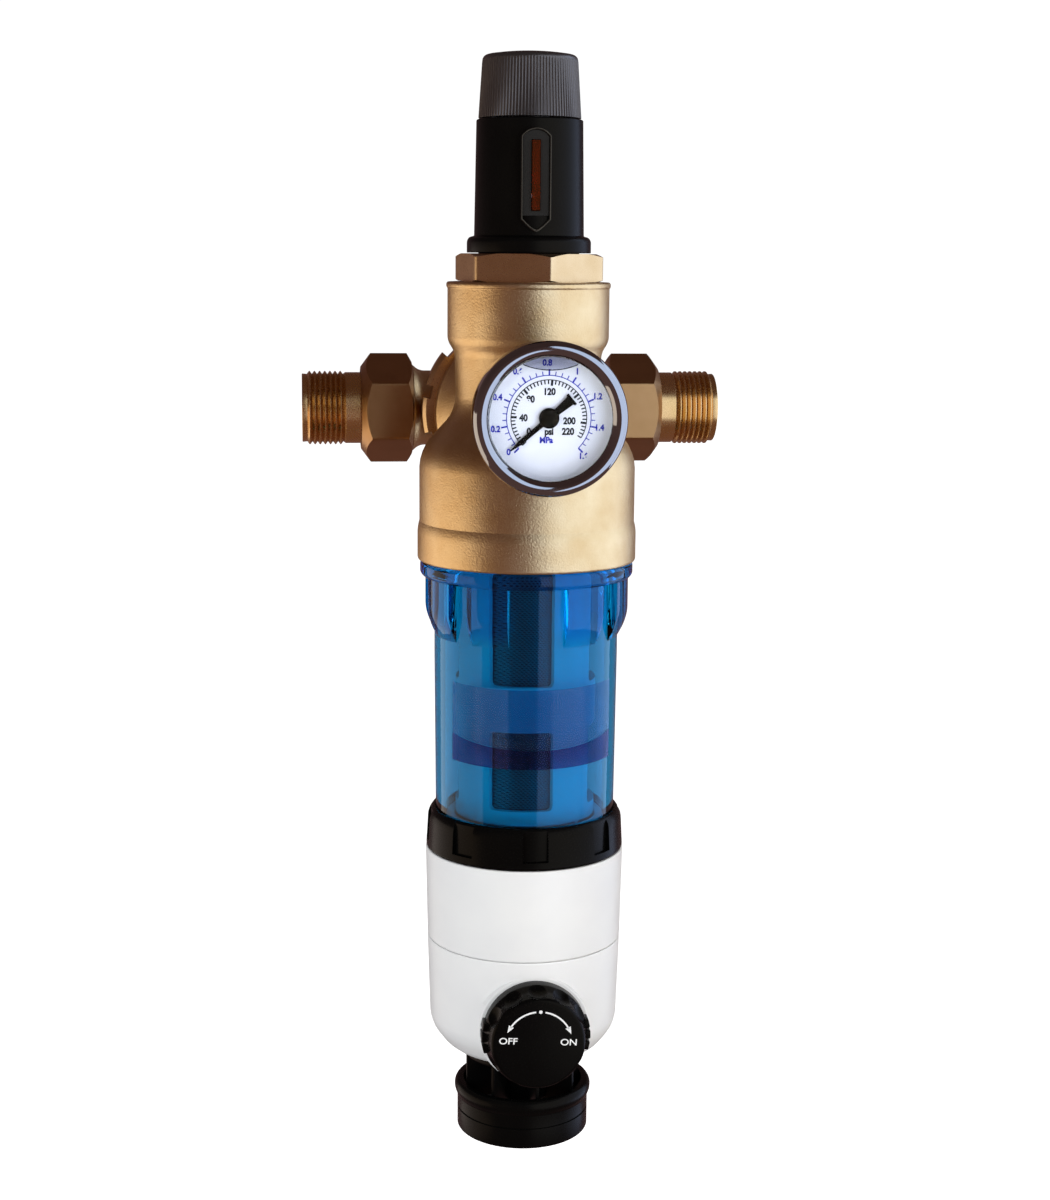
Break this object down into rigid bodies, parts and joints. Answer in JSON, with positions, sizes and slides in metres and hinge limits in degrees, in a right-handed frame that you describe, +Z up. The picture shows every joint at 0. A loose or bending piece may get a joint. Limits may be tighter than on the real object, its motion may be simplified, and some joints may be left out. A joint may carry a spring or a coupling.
{
  "type": "self cleaning water filter",
  "caption": "Backwash water filter with pressure reducing valve, gauge, clear bowl and drain ball valve, on a pipe connector with union ends.",
  "frame": {"origin": "centre of the pipe run, on the inlet to outlet axis", "axes": "+X along the pipe towards the outlet, -Y to the front where the gauge and drain knob face, +Z up along the filter"},
  "size_m": [0.188, 0.1776, 0.4651],
  "materials": {
    "cast_brass": "sand cast and partly machined, golden",
    "steel": "plain stainless steel",
    "chrome": "polished",
    "bronze": "plain bronze",
    "black_rubber": "matt",
    "black_plastic": "satin glass-filled nylon",
    "grey_plastic": "satin, finely ribbed",
    "white_plastic": "satin acetal",
    "dial_enamel": "printed white enamel",
    "red_plastic": "satin",
    "clear_lens": "clear acrylic",
    "clear_blue_bowl": "clear blue moulded plastic"
  },
  "bodies": {
    "connector": {"pipe_connector": "cast_brass", "left_union_gasket": "black_rubber", "right_union_gasket": "black_rubber", "left_tailpiece": "cast_brass", "right_tailpiece": "cast_brass"},
    "left_nut": {"left_union_nut": "cast_brass"},
    "right_nut": {"right_union_nut": "cast_brass"},
    "coupling": {"coupling_nut": "cast_brass"},
    "filter": {"filter_body": "cast_brass", "inner_port_seal": "black_rubber", "outer_port_seal": "black_rubber", "valve_seat": "steel", "diaphragm": "black_rubber", "slip_ring": "bronze", "bonnet_hex_ring": "cast_brass", "spring_bonnet": "black_plastic", "window_lens": "clear_lens", "gauge_washer": "bronze", "gauge_socket": "cast_brass", "gauge_case": "steel", "gauge_bezel": "chrome", "gauge_lens": "clear_lens", "gauge_dial": "dial_enamel", "gauge_movement": "cast_brass", "pressure_tube": "bronze", "filter_bowl": "clear_blue_bowl", "bowl_oring": "black_rubber", "filter_cage": "white_plastic", "cage_oring": "black_rubber", "upper_screen": "steel", "lower_screen": "steel", "ring_nut": "black_plastic", "clip_ring": "steel", "drain_housing_upper": "white_plastic", "housing_oring": "black_rubber", "drain_housing_lower": "white_plastic", "upper_ball_seat": "white_plastic", "lower_ball_seat": "white_plastic", "drain_stem_oring": "black_rubber", "drain_neck": "black_plastic", "drain_cup": "black_plastic"},
    "adjuster": {"setting_knob": "grey_plastic", "setting_spindle": "bronze"},
    "spring_plate_body": {"spring_plate": "red_plastic", "setting_spring": "steel"},
    "reducing_valve": {"valve_stem": "steel", "valve_disc": "black_rubber", "diaphragm_plate": "steel", "stem_nut": "steel"},
    "pointer": {"gauge_pointer": "black_plastic"},
    "drain_valve": {"drain_knob": "black_plastic", "drain_stem": "cast_brass", "drain_ball": "steel"}
  },
  "joints": [
    {"name": "filter_swivel", "type": "hinge", "parent": "connector", "child": "filter", "pos_m": [0, 0, 0], "axis": [0, 1, 0], "range_deg": [-90, 90]},
    {"name": "coupling_turn", "type": "hinge", "parent": "filter", "child": "coupling", "pos_m": [0, -0.0219, 0], "axis": [0, 1, 0], "continuous": true},
    {"name": "left_union_turn", "type": "hinge", "parent": "connector", "child": "left_nut", "pos_m": [-0.0562, 0, 0], "axis": [1, 0, 0], "continuous": true},
    {"name": "right_union_turn", "type": "hinge", "parent": "connector", "child": "right_nut", "pos_m": [0.0562, 0, 0], "axis": [1, 0, 0], "continuous": true},
    {"name": "setting_turn", "type": "hinge", "parent": "filter", "child": "adjuster", "pos_m": [0, -0.0726, 0.1241], "axis": [0, 0, 1], "range_deg": [-720, 720]},
    {"name": "spring_plate_slide", "type": "slide", "parent": "filter", "child": "spring_plate_body", "axis": [0, 0, 1], "range_m": [-0.006, 0.006], "deforming": ["setting_spring"]},
    {"name": "valve_slide", "type": "slide", "parent": "filter", "child": "reducing_valve", "axis": [0, 0, 1], "range_m": [0, 0.003], "stiffness_N_per_m": 4000, "springref_m": -0.01},
    {"name": "pointer_turn", "type": "hinge", "parent": "filter", "child": "pointer", "pos_m": [0, -0.1461, 0.0069], "axis": [0, 1, 0], "range_deg": [0, 265], "stiffness_Nm_per_rad": 0.0002},
    {"name": "drain_turn", "type": "hinge", "parent": "filter", "child": "drain_valve", "pos_m": [0, -0.0726, -0.2541], "axis": [0, 1, 0], "range_deg": [0, 90]}
  ],
  "couplings": [
    {"joint": "setting_turn", "follows": "spring_plate_slide", "rad_per_m": 2094.4}
  ]
}
